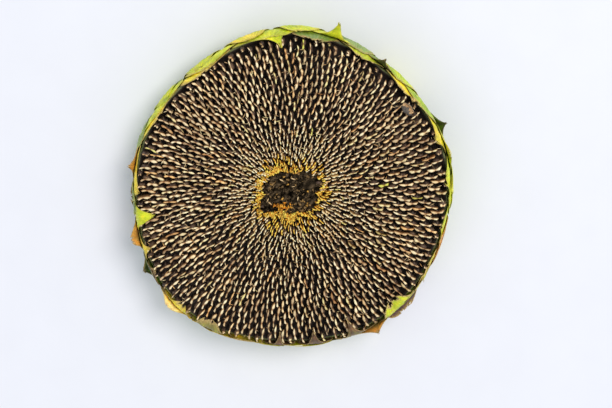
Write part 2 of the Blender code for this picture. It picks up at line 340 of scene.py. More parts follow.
rng = np.random.default_rng(11)
number, radius, bearing, cell_side = spiral(SEED_FIRST, SEED_LAST)
count = len(number)
ring_height, ring_width = np.array(SEED_RINGS).T[..., None]
around = circle(SEED_SIDES)
ring_x, ring_y = polar(ring_width, around)
seed_shape = np.stack([SEED_HALF_LENGTH * ring_x, SEED_HALF_WIDTH * ring_y,
                       ring_height - SEED_TOP + 0 * around], axis=-1).reshape(-1, 3)
girth = cell_side * rng.uniform(*SEED_SIZES, count)
room_out = (SEED_REACH - radius) / SEED_HALF_LENGTH
size = np.stack([np.minimum(girth, room_out), girth, np.ones(count)], axis=-1)
seeds = planted(seed_shape, radius, bearing, rng.normal(0, SEED_TURN, count),
                rng.normal(0, SEED_LEAN, (count, 2)), size,
                SEED_TOP + rng.normal(0, SEED_HEIGHTS, count))

husk, look = new_material("seed_husk", Roughness=0.5, Specular_IOR_Level=0.3)
speck = look.noise(1400.0, 3.0)
husk_colour = look.ramp(look.own("tone"), (0.0, (0.014, 0.008, 0.006)), (0.6, (0.070, 0.041, 0.029)),
                        (1.0, (0.17, 0.105, 0.066)))
stripes = look.maths("SINE", look.maths("MULTIPLY", look.own("stripe"), 31.0))
streaks = look.maths("MAXIMUM", look.maths("MULTIPLY", stripes, speck), 0.0)
look.wear(Base_Color=look.blend(streaks, husk_colour, (0.19, 0.13, 0.09)))
look.relief(speck, 0.35, 0.2 * MM)
add_piece("seeds", seeds, tube_faces(len(SEED_RINGS), SEED_SIDES, count), husk,
          {"tone": np.repeat(rng.uniform(0, 1, count) ** 1.3, len(seed_shape)),
           "stripe": np.tile(around / (2 * math.pi), len(SEED_RINGS) * count)},
          replaces=["seed_bed"])

# ----------------------------------------------------------
# The chaff
# Beside every seed stands a dry straw scale, folded along its length and set on edge towards
# the middle of the disc. Its pale tip is split into a long inner lobe and a small outer knob.
# ----------------------------------------------------------
CHAFF_FIRST, CHAFF_LAST = 190, 1290
CHAFF_REACH = 101.5 * MM         # no blade passes this radius
BLADE_LENGTH = 8.7 * MM
BLADE_FULL_RADIUS = 71.5 * MM    # from here outwards the blades have their full length
BLADE_TOP = 42.6 * MM
BLADE_DEPTH = 6 * MM
BLADE_WAIST = 1.6 * MM           # how far down its narrow waist is
BLADE_GROOVE = 0.25              # depth of the groove in its top, as a share of its half width
BLADE_SIDES = 7
# stations along a blade from its inner end: place, half width, rise of the top, step across
BLADE_STATIONS = (
    (0.00, 0.13, -1.20, 0.42), (0.11, 0.42, -0.20, 0.16), (0.27, 0.66, 0.38, 0.00),
    (0.43, 0.50, 0.12, -0.06), (0.57, 0.28, -0.50, -0.04), (0.71, 0.40, -0.12, 0.08),
    (0.87, 0.58, 0.42, 0.34), (1.00, 0.18, -0.60, 0.78))
BLADE_PLACE, BLADE_HALF = np.array(BLADE_STATIONS)[:, :2].T
CHAFF_TURN, CHAFF_LEAN = 0.09, 0.10   # how far blades are turned and leant, in radians
CHAFF_HEIGHTS = 0.40 * MM        # how far their tops are uneven
LOBE_RISE = 0.45 * MM            # how far each end of a blade stands above or below the usual
CHAFF_BEND = 0.35 * MM           # how far the outer part of a blade is bent aside
SLIM_RADIUS, SLIM_BAND = 66 * MM, 30 * MM


def blade_shape():
    """One blade as a tube along its length. At each station its section has a narrow foot, a
    waist and a top of the station's width with a shallow groove in the middle, all in order
    round the section, so that the top edges catch the light and the sides fall away."""
    place, half, top, step = np.array(BLADE_STATIONS).T
    half, top, step = half * MM, top * MM, step * MM
    foot, waist = 0.35 * half + 0.1 * MM, 0.7 * half + 0.1 * MM
    side = np.stack([-foot, -waist, -half, 0 * half, half, waist, foot], axis=1) + step[:, None]
    low = -BLADE_DEPTH * (0.55 + 0.45 * np.sin(math.pi * place))
    height = np.stack([low, top - BLADE_WAIST, top, top - BLADE_GROOVE * half, top,
                       top - BLADE_WAIST, low], axis=1)
    out = (place[:, None] - 0.5) * BLADE_LENGTH + 0 * side
    return np.stack([out, side, height], axis=-1).reshape(-1, 3)


def along_blade(inner, outer):
    """A measure that changes along each blade from its inner end's value to its outer end's."""
    return inner * (1 - outer_share) + outer * outer_share


rng = np.random.default_rng(23)
number, radius, bearing, cell_side = spiral(CHAFF_FIRST, CHAFF_LAST)
count = len(number)
blade = blade_shape()
long = np.minimum(1, radius / BLADE_FULL_RADIUS) ** 0.8 * rng.uniform(0.84, 1.12, count)
long = np.clip((CHAFF_REACH - radius) / (0.5 * BLADE_LENGTH), 0.2, long)
wide = np.sqrt(cell_side) * rng.uniform(0.7, 1.25, count)
size = np.stack([long, wide, rng.uniform(0.85, 1.15, count)], axis=-1)
# the inner lobe and the outer knob are wide or narrow, high or low, each in its own measure
outer_share = np.clip(0.5 + blade[None, :, 0] / BLADE_LENGTH, 0, 1)
lobe_width = along_blade(rng.uniform(0.65, 1.35, (count, 1)), rng.uniform(0.6, 1.45, (count, 1)))
lobe_rise = along_blade(rng.normal(0, LOBE_RISE, (count, 1)), rng.normal(0, LOBE_RISE, (count, 1)))
# near the middle of the disc the blades are slim slivers without lobes
slim = np.clip((SLIM_RADIUS - radius) / SLIM_BAND, 0, 1)[:, None]
sliver_width = (np.sin(math.pi * (0.08 + 0.84 * outer_share))
                / np.interp(outer_share, BLADE_PLACE, BLADE_HALF))
lobe_width = lobe_width * (1 + slim * (0.42 * sliver_width - 1))
own_blades = np.stack([blade[:, 0] + 0 * lobe_width, blade[:, 1] * lobe_width,
                       blade[:, 2] + lobe_rise], axis=-1)
blades = planted(own_blades, radius, bearing, rng.normal(0, CHAFF_TURN, count),
                 rng.normal(0, CHAFF_LEAN, (count, 2)), size,
                 BLADE_TOP + rng.normal(0, CHAFF_HEIGHTS, count))
# the outer part of every blade bends its own way
bend = rng.normal(0, CHAFF_BEND, (count, 1)) * np.clip(2 * blade[:, 0] / BLADE_LENGTH, -0.2, 1) ** 2
blades[..., 0] -= bend * np.sin(bearing)[:, None]
blades[..., 1] += bend * np.cos(bearing)[:, None]

# The straw look, shared by all the dry scales: pale gold, browner low down and along the edges,
# with fine streaks. Browner low down on the blades is painted shade, carried by the depth value
straw_look, given, gives = new_group("straw_look", "Tone", "Tint", "Depth",
                                     "Pale Color", "Middle Color", "Brown Color")
maths, blend = straw_look.maths, straw_look.blend
streak = straw_look.noise(900.0, 4.0, 0.6)
darkening = maths("MULTIPLY_ADD", maths("SUBTRACT", streak, 0.5), 0.9, given["Depth"])
straw = blend(straw_look.span(darkening, 0.08, 0.42), given["Pale Color"], given["Middle Color"])
straw = blend(straw_look.span(darkening, 0.3, 0.8), straw, given["Brown Color"])
straw = blend(1.0, straw, straw_look.ramp(
    given["Tone"], (0.0, (0.34, 0.25, 0.20)), (0.3, (0.62, 0.52, 0.44)), (0.7, (0.92, 0.88, 0.82)),
    (1.0, (1.0, 1.0, 1.0))), "MULTIPLY")
straw = blend(1.0, straw, straw_look.ramp(
    given["Tint"], (0.0, (1.0, 0.72, 0.42)), (0.05, (1.0, 0.90, 0.74)), (0.4, (1.0, 0.98, 0.94)),
    (0.7, (0.98, 1.0, 0.96)), (0.93, (0.97, 0.98, 0.84)), (0.99, (0.92, 0.96, 0.66)),
    (1.0, (0.74, 0.88, 0.24))), "MULTIPLY")
straw_look.feed(gives["Color"], straw)
straw_look.feed(gives["Roughness"], maths("MULTIPLY_ADD", streak, 0.3, 0.42))
straw_look.feed(gives["Height"], streak)


def straw_material(name, pale, middle, brown):
    """A dry straw material from its pale, middle and brown colours."""
    material, look = new_material(name, Specular_IOR_Level=0.3)
    colours = {"Pale Color": pale, "Middle Color": middle, "Brown Color": brown}
    look.wear_group(straw_look, {**look.own_inputs("Tone", "Tint", "Depth"), **colours}, 0.5, 0.3 * MM)
    return material


def add_straw(name, scales, sides, material, tone, tint, depth, replaces=()):
    """A piece of many small tubes of straw, given as copies of points. Each copy has its own
    tone and tint, and a depth that may differ from point to point."""
    copies, points = scales.shape[:2]
    values = {label: np.broadcast_to(value, (copies, points))
              for label, value in (("tone", tone[:, None]), ("tint", tint[:, None]), ("depth", depth))}
    add_piece(name, scales, tube_faces(points // sides, sides, copies), material, values,
              replaces)


# painted shade: a blade is browner down its sides and at its foot, where it stands among the seeds;
# the straw's own brown lies over its narrow bridge and at both ends: place, spread, strength
SECTION_PAINTED_SHADE = (0.9, 0.6, 0.17, 0.04, 0.17, 0.6, 0.9)
BROWN_PLACES = ((0.57, 0.11, 0.40), (0.0, 0.08, 0.35), (1.0, 0.06, 0.3))
blade_place = np.repeat(BLADE_PLACE, BLADE_SIDES)
depth = np.tile(SECTION_PAINTED_SHADE, len(BLADE_STATIONS))
for place, spread, strength in BROWN_PLACES:
    depth = depth + strength * np.exp(-((blade_place - place) / spread) ** 2)
depth = np.clip(depth, 0, 1)
chaff_straw = straw_material("chaff_straw", (1.0, 0.86, 0.57), (0.58, 0.36, 0.18), (0.22, 0.125, 0.062))
add_straw("chaff", blades, BLADE_SIDES, chaff_straw,
          np.clip(rng.beta(1.9, 1.6, count) + 0.4 * slim[:, 0], 0, 1), rng.uniform(0, 1, count), depth,
          replaces=["seed_bed"])

# splinters of broken chaff and dry floret tubes that lie between the blades
SPLINTER_COUNT = 1300
SPLINTER_SIDES = 4
SPLINTER_STATIONS = ((0.0, 0.25), (0.35, 0.9), (0.7, 1.0), (1.0, 0.15))   # place, share of its width
SPLINTER_SIZE = (4.0 * MM, 0.32 * MM, 0.16 * MM)      # length, half width, half thickness
SPLINTER_BOW = 0.5 * MM
SPLINTER_HEIGHTS = (40.2 * MM, 42.3 * MM)
SPLINTER_BAND = (22 * MM, 79 * MM)    # the least radius where they lie, and how much further they go
SPLINTER_PITCH = 0.5
count = SPLINTER_COUNT
spread = SPLINTER_BAND[0] + SPLINTER_BAND[1] * rng.uniform(0, 1, count) ** 0.85
where = rng.uniform(0, 2 * math.pi, count)
place, half = np.array(SPLINTER_STATIONS).T[..., None]
across, upward = polar(half, circle(SPLINTER_SIDES))
splinter = np.stack([(place - 0.5) * SPLINTER_SIZE[0] + 0 * across, across * SPLINTER_SIZE[1],
                     upward * SPLINTER_SIZE[2] + SPLINTER_BOW * np.sin(math.pi * place)],
                    axis=-1).reshape(-1, 3)
pitch = rng.normal(0, SPLINTER_PITCH, (count, 1))
tipped = np.stack([splinter[:, 0] * np.cos(pitch), splinter[:, 1] + 0 * pitch,
                   splinter[:, 2] + splinter[:, 0] * np.sin(pitch)], axis=-1)
splinters = planted(tipped, spread, where, rng.uniform(0, math.pi, count), np.zeros((count, 2)),
                    rng.uniform(0.35, 1.05, (count, 1)) * np.array([1, 0.8, 1]),
                    rng.uniform(*SPLINTER_HEIGHTS, count))
add_straw("chaff_splinters", splinters, SPLINTER_SIDES, chaff_straw, rng.beta(1.2, 2.0, count),
          rng.uniform(0, 1, count) ** rng.choice((0.3, 3), count), 0.12)

# ----------------------------------------------------------
# The ring of young scales
# Towards the middle the scales are short, crowded and still coloured: cream, then yellow and
# orange next to the tuft.
# ----------------------------------------------------------
RING_FIRST, RING_LAST = 62, 330
RING_TOP = 42.3 * MM
TUFT_HALF_SIZE = (20.4 * MM, 16.2 * MM)
TUFT_LOBES = ((1, 0.03, 43), (2, 0.08, 21), (4, 0.08, 35), (6, 0.06, -30), (7, 0.05, 11))
# beside each place that has a blade too, the scale is this far out for a full cell, and round
YOUNG_STEP, YOUNG_TURN = 2.2 * MM, GOLDEN_ANGLE / 68 + 0.02
YOUNG_SLIMNESS = 0.36
# how likely a scale is to be yellow at some distances from the middle
GOLD_REACH = (17 * MM, 21 * MM, 25 * MM, 29 * MM)
GOLD_CHANCE = (0.95, 0.75, 0.25, 0.0)


def tuft_place(share, bearing):
    """The place from the axis at a share of the way out to the tuft's edge."""
    x, y = polar(share * waves_round(bearing, TUFT_LOBES), bearing)
    return TUFT_HALF_SIZE[0] * x, TUFT_HALF_SIZE[1] * y


def tuft_edge(bearing):
    """The radius of the tuft's edge at a bearing."""
    x, y = polar(1, bearing)
    return waves_round(bearing, TUFT_LOBES) / np.hypot(x / TUFT_HALF_SIZE[0], y / TUFT_HALF_SIZE[1])


rng = np.random.default_rng(31)
number, radius, bearing, cell_side = spiral(RING_FIRST, RING_LAST)
first_only = number < CHAFF_FIRST
radius = np.concatenate([radius[first_only], radius + cell_side * YOUNG_STEP])
bearing = np.concatenate([bearing[first_only], bearing + YOUNG_TURN])
clear = radius > 0.95 * tuft_edge(bearing)
radius, bearing = radius[clear], bearing[clear]
count = len(radius)
size = np.stack([rng.uniform(0.32, 0.62, count), rng.uniform(0.7, 1.15, count),
                 rng.uniform(0.7, 1.2, count)], axis=-1)
sliver = blade.copy()
sliver[:, 1] *= YOUNG_SLIMNESS * sliver_width[0]
young = planted(sliver, radius, bearing, rng.normal(0, 0.2, count), rng.normal(0, 0.16, (count, 2)), size,
                RING_TOP + rng.normal(0, 0.5 * MM, count))
cream_straw = straw_material("young_cream", (1.0, 0.95, 0.70), (0.80, 0.56, 0.25), (0.32, 0.17, 0.06))
gold_straw = straw_material("young_gold", (1.0, 0.82, 0.15), (0.80, 0.37, 0.025), (0.26, 0.105, 0.012))
# the yellow band is widest below the tuft and at its upper left
gold_reach = radius - 4 * MM * np.exp(-(np.sin(bearing / 2 + 0.79) / 0.3) ** 2)
gold_reach = gold_reach - 2 * MM * np.cos(3 * bearing - 6.2)
golden = rng.uniform(0, 1, count) < np.interp(gold_reach, GOLD_REACH, GOLD_CHANCE)
# the young scales take the same depth values, so they too are painted browner down their sides as painted
# shade
for name, picked, material in (("young_scales_cream", young[~golden], cream_straw),
                               ("young_scales_gold", young[golden], gold_straw)):
    add_straw(name, picked, BLADE_SIDES, material, rng.beta(3.5, 1.1, len(picked)),
              rng.uniform(0.0, 0.98, len(picked)), depth)

# yellow and orange crumbs crowd round the tuft, most of them below it and at its upper left
CRUMB_COUNT = 560
CRUMB_SHAPE = (0.42, 1.3, 1.5)   # against a splinter
CRUMB_SPREAD = 2.3 * MM
# the crowds of crumbs: bearing and spread in degrees, share of them all
CRUMB_CROWDS = ((-98, 30, 0.42), (128, 26, 0.24), (180, 18, 0.12), (8, 12, 0.06), (0, 180, 0.16))
# some fill a notch in the tuft's lower left side: count, then place and spread of each axis
NOTCH_COUNT = 42
NOTCH = ((-5 * MM, 2.8 * MM), (-9.2 * MM, 1.3 * MM))
crowd_bearing, crowd_spread, crowd_share = np.array(CRUMB_CROWDS).T
count = CRUMB_COUNT
crowd = rng.choice(len(CRUMB_CROWDS), count, p=crowd_share)
where = np.radians(crowd_bearing[crowd] + crowd_spread[crowd] * rng.normal(0, 1, count))
spread = tuft_edge(where) * 0.95 + np.abs(rng.normal(0, CRUMB_SPREAD, count))
in_notch = np.arange(count) < NOTCH_COUNT
notch_x, notch_y = rng.normal(*NOTCH[0], count), rng.normal(*NOTCH[1], count)
spread = np.where(in_notch, np.hypot(notch_x, notch_y), spread)
where = np.where(in_notch, np.arctan2(notch_y, notch_x), where)
crumbs = planted(splinter * np.array(CRUMB_SHAPE), spread / outline(where), where,
                 rng.normal(0, 0.7, count), rng.normal(0, 0.2, (count, 2)),
                 rng.uniform(0.6, 1.4, (count, 1)) * np.ones(3),
                 np.where(in_notch, 43.0 * MM, 41.6 * MM) + rng.normal(0, 0.5 * MM, count))
add_straw("young_crumbs", crumbs, SPLINTER_SIDES, gold_straw, rng.beta(1.3, 0.75, count),
          rng.uniform(0.0, 0.98, count) ** np.where(in_notch, 3.0, 1.0),
          np.where(in_notch, 0.4, rng.uniform(0.02, 0.5, count))[:, None])

# ----------------------------------------------------------
# The tuft in the middle
# The last florets never ripened. They dried to a matted, dark grey-brown mound of shrivelled
# tubes with ragged tips, and a few straw bits lie on it.
# ----------------------------------------------------------
MOUND_TOP = 40.0 * MM
TUFT_FOOT = 37.6 * MM
TUFT_GRID = (120, 36)
BUMP_SIZE, BUMP_HEIGHT = 5 * MM, 2.8 * MM
FLORET_COUNT = 380
FLORET_STATIONS, FLORET_SIDES = 6, 6
FLORET_LENGTHS = (2.5 * MM, 5.5 * MM)
FLORET_WIDTHS = (0.45 * MM, 0.95 * MM)
FLORET_SINK = 1.6 * MM           # how far their feet are sunk in the mound
FLORET_CEILING = 45.0 * MM       # no floret stands higher
# a small lobe of florets hangs out below the tuft: count, then place and spread of each axis
LOBE_COUNT = 34
LOBE = ((-2.4 * MM, 1.6 * MM), (-15.8 * MM, 2.0 * MM))
# bits of straw on the tuft: place from the axis in mm, and bearing of each
STRAW_BITS = ((-14.0, 9.6, 155), (-5.0, 8.8, 150), (2.4, 9.8, 160), (2.4, 4.6, 8),
              (-14.2, -4.6, 65), (-12.6, -6.6, 140), (5.5, -3.5, 80))
STRAW_BIT_HEIGHT = 43.3 * MM


def ripples(x, y, seed, size, octaves=4):
    """Uneven ground between -1 and 1: sums of waves in random directions, each set half as long
    and half as high as the last."""
    source = np.random.default_rng(seed)
    total = np.zeros_like(x)
    for octave in range(octaves):
        for _ in range(5):
            direction, phase = source.uniform(0, 2 * math.pi, 2)
            wave = 2 * math.pi * 2 ** octave / size * source.uniform(0.8, 1.25)
            way = x * math.cos(direction) + y * math.sin(direction)
            total = total + np.sin(wave * way + phase) / 2 ** octave / 5
    return total


def mound_height(share, bumps=0.0):
    """The mound's height at a share of the way out to its edge, with bumps that fade there."""
    return TUFT_FOOT + (MOUND_TOP - TUFT_FOOT + bumps) * (1 - share ** 2.6) ** 0.5


def closed_dome(rings, sides):
    """Faces of a dome of rings from the rim to a pole, closed below by one flat face."""
    top = (rings - 1) * sides
    fan = [(top + a, top + (a + 1) % sides, top + sides) for a in range(sides)]
    return ring_faces(rings, sides).tolist() + fan + [tuple(range(sides))[::-1]]


rng = np.random.default_rng(41)
turn = circle(TUFT_GRID[0])
share = 1 - (np.arange(TUFT_GRID[1]) / TUFT_GRID[1])[:, None]
x, y = tuft_place(share, turn)
bumps = ripples(x, y, 5, BUMP_SIZE) * BUMP_HEIGHT
mound = np.stack([AXIS[0] + x, AXIS[1] + y, mound_height(share, bumps)], axis=-1).reshape(-1, 3)
mound = np.concatenate([mound, [[AXIS[0], AXIS[1], MOUND_TOP]]])

florets_dry, look = new_material("dried_florets", Roughness=1.0, Specular_IOR_Level=0.0)
patch = look.maths("MULTIPLY_ADD", look.own("tone"), 0.62,
                   look.maths("MULTIPLY", look.noise(220.0, 5.0, 0.65), 0.56))
look.wear(Base_Color=look.ramp(patch, (0.24, (0.004, 0.003, 0.002)), (0.42, (0.034, 0.024, 0.014)),
                               (0.60, (0.115, 0.078, 0.042)), (0.76, (0.30, 0.18, 0.07)),
                               (0.92, (0.68, 0.36, 0.07))))
look.relief(look.noise(1500.0, 3.0), 0.8, 0.5 * MM)
# the mound's tone follows the height of its bumps: painted shade makes its hollows near black and painted
# light makes its bumps paler
add_piece("tuft_mound", mound, closed_dome(TUFT_GRID[1], TUFT_GRID[0]), florets_dry,
          {"tone": np.append(np.clip(0.12 + 170 * bumps.ravel(), 0, 1), 0.3)}, replaces=["floret_tuft"])


def for_each(values):
    """One value for each floret, ready to meet its stations and sides."""
    return values[:, None, None]


# the florets: bent tapering tubes that widen into a ragged mouth, strewn over the mound
count = FLORET_COUNT
spot = np.sqrt(rng.uniform(0.0, 1.0, count)) * 0.98
heading = rng.uniform(0, 2 * math.pi, count)
foot_x, foot_y = tuft_place(spot, heading)
in_lobe = np.arange(count) < LOBE_COUNT
foot_x = np.where(in_lobe, rng.normal(*LOBE[0], count), foot_x)
foot_y = np.where(in_lobe, rng.normal(*LOBE[1], count), foot_y)
spot = np.where(in_lobe, 0.55, spot)
along = np.linspace(0, 1, FLORET_STATIONS)[None, :, None]
section = circle(FLORET_SIDES)
way = for_each(heading + rng.normal(0, 1.0, count))
lie = for_each(rng.uniform(0.15, 1.35, count))
length = for_each(rng.uniform(*FLORET_LENGTHS, count))
bow = for_each(rng.normal(0, 0.9, count))
girth = for_each(rng.uniform(*FLORET_WIDTHS, count))
crumple = 1 + 0.3 * np.sin(section * 2 + for_each(rng.uniform(0, 6, count)) + 9 * along)
half = girth * (0.55 + 0.75 * along ** 2 - 0.75 * along ** 8) * crumple
angle = way + bow * along
breadth, thickness = half * np.cos(section), half * np.sin(section)
run_out = length * along * np.sin(lie) - thickness * np.cos(lie)
tube_x = for_each(foot_x) + run_out * np.cos(angle) - breadth * np.sin(angle)
tube_y = for_each(foot_y) + run_out * np.sin(angle) + breadth * np.cos(angle)
tube_z = (for_each(mound_height(spot) - FLORET_SINK) + 0.8 * length * along * np.cos(lie)
          + thickness * np.sin(lie)
          + rng.normal(0, 0.3 * MM, (count, FLORET_STATIONS, FLORET_SIDES)) * along ** 3)
tubes = np.stack([AXIS[0] + tube_x, AXIS[1] + tube_y, np.minimum(tube_z, FLORET_CEILING)], axis=-1)
clump = 0.5 + 0.9 * ripples(foot_x, foot_y, 9, BUMP_SIZE)
tube_tone = np.clip(0.75 * rng.beta(0.9, 1.7, count)[:, None] + 0.35 * clump[:, None]
                    + 0.15 * np.linspace(0, 1, FLORET_STATIONS) ** 2 - 0.1, 0, 1)
add_piece("tuft_florets", tubes, tube_faces(FLORET_STATIONS, FLORET_SIDES, count), florets_dry,
          {"tone": np.repeat(tube_tone.ravel(), FLORET_SIDES)}, replaces=["floret_tuft"])

bit_x, bit_y, bit_bearing = np.array(STRAW_BITS).T
bit_count = len(STRAW_BITS)
bit_radius, bit_place = np.hypot(bit_x, bit_y) * MM, np.arctan2(bit_y, bit_x)
bits = planted(splinter, bit_radius / outline(bit_place), bit_place, np.radians(bit_bearing) - bit_place,
               rng.normal(0, 0.1, (bit_count, 2)),
               rng.uniform(0.6, 1.0, (bit_count, 1)) * np.array([1, 1.4, 1.2]),
               np.full(bit_count, STRAW_BIT_HEIGHT))
add_straw("straw_bits", bits, SPLINTER_SIDES, chaff_straw, rng.uniform(0.3, 0.75, bit_count),
          np.full(bit_count, 0.1), 0.1)

# ----------------------------------------------------------
# The receptacle
# The fleshy disc that carries everything: a shallow dish, green going to straw, finely hairy,
# with veins that run down the wall and over the back to the stem.
# ----------------------------------------------------------
RIM_RADIUS = 102 * MM
HEAD_HEIGHT = 40 * MM
BACK_FLAT_RADIUS = 60 * MM
WALL_REACH = 30 * MM
WALL_BELLY = (109.5 * MM, 14 * MM)
LIP_HEIGHT = 31 * MM
LIP_WIDTH = 3 * MM
LIP_ROUND = (1 * MM, 0.6 * MM)   # how far the lip's inner edge is below its top, and its middle above
FLOOR_EDGE = (99.5 * MM, 28 * MM)
FLOOR_CENTRE = 29.3 * MM
DIMPLE_DEPTH = 6 * MM
DIMPLE_FLOOR_RADIUS = 14 * MM
DIMPLE_MOUTH_RADIUS = 23 * MM
POLE_RADIUS = 1 * MM             # the small flat caps at the middle of the floor and of the dimple
RECEPTACLE_SIDES = 360
WALL_SINK, BACK_SINK = 0.45 * MM, 0.6 * MM    # room left for the veins on the wall and on the back


def wall_table(samples=400):
    """The side wall as one cubic Bezier in radius and height, from the flat of the back up to
    the rim: distance along it, radius, height and heading."""
    t = np.linspace(0, 1, samples)[:, None]
    ends = np.array([(BACK_FLAT_RADIUS, 0), (BACK_FLAT_RADIUS + WALL_REACH, 0), WALL_BELLY,
                     (RIM_RADIUS, HEAD_HEIGHT)])
    curve = ((1 - t) ** 3 * ends[0] + 3 * (1 - t) ** 2 * t * ends[1]
             + 3 * (1 - t) * t ** 2 * ends[2] + t ** 3 * ends[3])
    step = np.gradient(curve, axis=0)
    along = np.concatenate([[0], np.cumsum(np.hypot(*np.diff(curve, axis=0).T))])
    return along, curve[:, 0], curve[:, 1], np.arctan2(step[:, 1], step[:, 0])


ALONG, WALL_RADIUS, WALL_HEIGHT, WALL_HEADING = wall_table()
on_wall = np.linspace(np.interp(LIP_HEIGHT, WALL_HEIGHT, ALONG), 0, 40)
wall_profile = np.stack([np.interp(on_wall, ALONG, WALL_RADIUS), np.interp(on_wall, ALONG, WALL_HEIGHT)],
                        axis=-1)
lip_radius = wall_profile[0, 0]
lip_profile = [(lip_radius - LIP_WIDTH, LIP_HEIGHT - LIP_ROUND[0]),
               (lip_radius - 0.5 * LIP_WIDTH, LIP_HEIGHT + LIP_ROUND[1])]
floor_profile = np.linspace((POLE_RADIUS, FLOOR_CENTRE), FLOOR_EDGE, 12)
back_profile = np.linspace((BACK_FLAT_RADIUS - 2 * MM, 0), (DIMPLE_MOUTH_RADIUS, 0), 16)
dimple_profile = np.linspace((DIMPLE_MOUTH_RADIUS, 0), (DIMPLE_FLOOR_RADIUS, 1), 10)[1:]
dimple_profile[:, 1] = DIMPLE_DEPTH * (0.5 - 0.5 * np.cos(math.pi * dimple_profile[:, 1]))
dimple_floor = [(DIMPLE_FLOOR_RADIUS * 0.6, DIMPLE_DEPTH), (POLE_RADIUS, DIMPLE_DEPTH)]
profile = np.concatenate([floor_profile, lip_profile, wall_profile, back_profile, dimple_profile,
                          dimple_floor])
turn = circle(RECEPTACLE_SIDES)
ring_radius, ring_height = profile[:, :1] + 0 * turn, profile[:, 1:] + 0 * turn
outside = (np.arange(len(profile)) >= len(floor_profile) + len(lip_profile))[:, None]
# veins of two sizes run down the wall and in over the back, and fade before the stem
vein = ((0.5 + 0.5 * np.cos(64 * turn + 1.5 * np.sin(7 * turn))) ** 3 * 0.35
        + (0.5 + 0.5 * np.cos(23 * turn + 2)) ** 4 * 0.4)
wander = ripples(*polar(ring_radius, turn), 8, 30 * MM)
fade = np.clip((ring_radius - 20 * MM) / (40 * MM), 0, 1)
lift = (vein * fade + 0.25 * wander) * MM
# on the flat of the back and in the dimple the relief goes inwards, so the head still lies flat
wall_part = outside * np.clip(ring_height / (6 * MM), 0, 1) * (ring_radius > 70 * MM)
ring_radius = ring_radius + (lift - WALL_SINK) * wall_part
back_part = outside * (ring_radius < 90 * MM) * (1 - wall_part)
ring_height = np.maximum(ring_height + (BACK_SINK - lift) * back_part, 0)
receptacle = head_points(ring_radius, turn + 0 * ring_radius, ring_height)

skin, look = new_material("receptacle_skin", Roughness=0.72)
hair = look.noise(2600.0, 2.0)
skin_colour = look.ramp(look.noise(60.0, 6.0, 0.6), (0.28, (0.17, 0.24, 0.045)), (0.5, (0.31, 0.38, 0.10)),
                        (0.72, (0.50, 0.48, 0.20)))
skin_colour = look.blend(look.maths("MULTIPLY", look.own("vein"), 0.55), skin_colour, (0.62, 0.62, 0.34))
hair_mask = look.maths("MULTIPLY", look.maths("GREATER_THAN", hair, 0.62), 0.35)
skin_colour = look.blend(hair_mask, skin_colour, (0.75, 0.76, 0.62))
# painted shade: the floor and the lip inside the rim are coloured near black, standing in for the shade
# down among the seeds and blades
look.wear(Base_Color=look.blend(look.own("inside"), skin_colour, (0.030, 0.018, 0.012)))
look.relief(hair, 0.5, 0.3 * MM)
add_piece("receptacle_disc", receptacle, tube_faces(len(profile), RECEPTACLE_SIDES), skin,
          {"vein": np.clip(2 * vein, 0, 1) * fade, "inside": ~outside + 0 * ring_radius},
          replaces=["receptacle"])

# ----------------------------------------------------------
# The stem
# A stump of the stalk, cut across just short of the back. It has a ribbed green rind round a
# ring of woody strands and a white spongy pith.
# ----------------------------------------------------------
STEM_RADIUS = 12.5 * MM
STEM_CUT_HEIGHT = 0.6 * MM
STEM_TOP = 5.7 * MM
STEM_SIDES = 96
# from the rind in to the middle of the cut: share of the radius, rise above the cut in mm
CUT_SHARES = (0.965, 0.90, 0.86, 0.80, 0.72, 0.6, 0.45, 0.3, 0.12)
CUT_RISES = (0, 0, 0.12, 0.18, 0.35, 0.5, 0.6, 0.62, 0.6)

levels = np.linspace(0, 1, 8)[:, None]
turn = circle(STEM_SIDES)
ribs = 1 + 0.018 * np.cos(16 * turn) + 0.008 * np.cos(41 * turn + 1)
side_radius = STEM_RADIUS * (0.97515 - 0.0198 * np.sin(math.pi * levels)) * ribs
side_height = STEM_TOP + (STEM_CUT_HEIGHT + 0.3 * MM - STEM_TOP) * levels + 0 * turn
share = np.array(CUT_SHARES)[:, None]
fibre = 0.08 * MM * ripples(*polar(share * STEM_RADIUS, turn), 3, 3 * MM)
cut_height = STEM_CUT_HEIGHT + np.array(CUT_RISES)[:, None] * MM + np.abs(fibre)
stem_x, stem_y = polar(np.concatenate([side_radius, share * side_radius[-1]]), turn)
stem = np.stack([AXIS[0] + stem_x, AXIS[1] + stem_y, np.concatenate([side_height, cut_height])], axis=-1)
from_axis = np.concatenate([np.ones((len(levels), 1)), share]) + 0 * turn

stalk, look = new_material("stem_and_pith", Roughness=0.8)
sponge = look.node("ShaderNodeTexVoronoi", {"Scale": 900.0, "Vector": look.place()}).outputs["Distance"]
stem_colour = look.ramp(look.own("from_axis"), (0.0, (0.86, 0.84, 0.74)), (0.78, (0.83, 0.80, 0.66)),
                        (0.84, (0.50, 0.40, 0.20)), (0.92, (0.40, 0.42, 0.14)), (1.0, (0.24, 0.34, 0.07)))
pores = look.maths("MULTIPLY", sponge, 0.5)
look.wear(Base_Color=look.blend(pores, stem_colour, (0.45, 0.40, 0.28), "MULTIPLY"))
look.relief(sponge, 0.4, 0.4 * MM)
add_piece("stem_stump", stem, tube_faces(len(levels) + len(share), STEM_SIDES), stalk,
          {"from_axis": from_axis}, replaces=["stem_stub"])

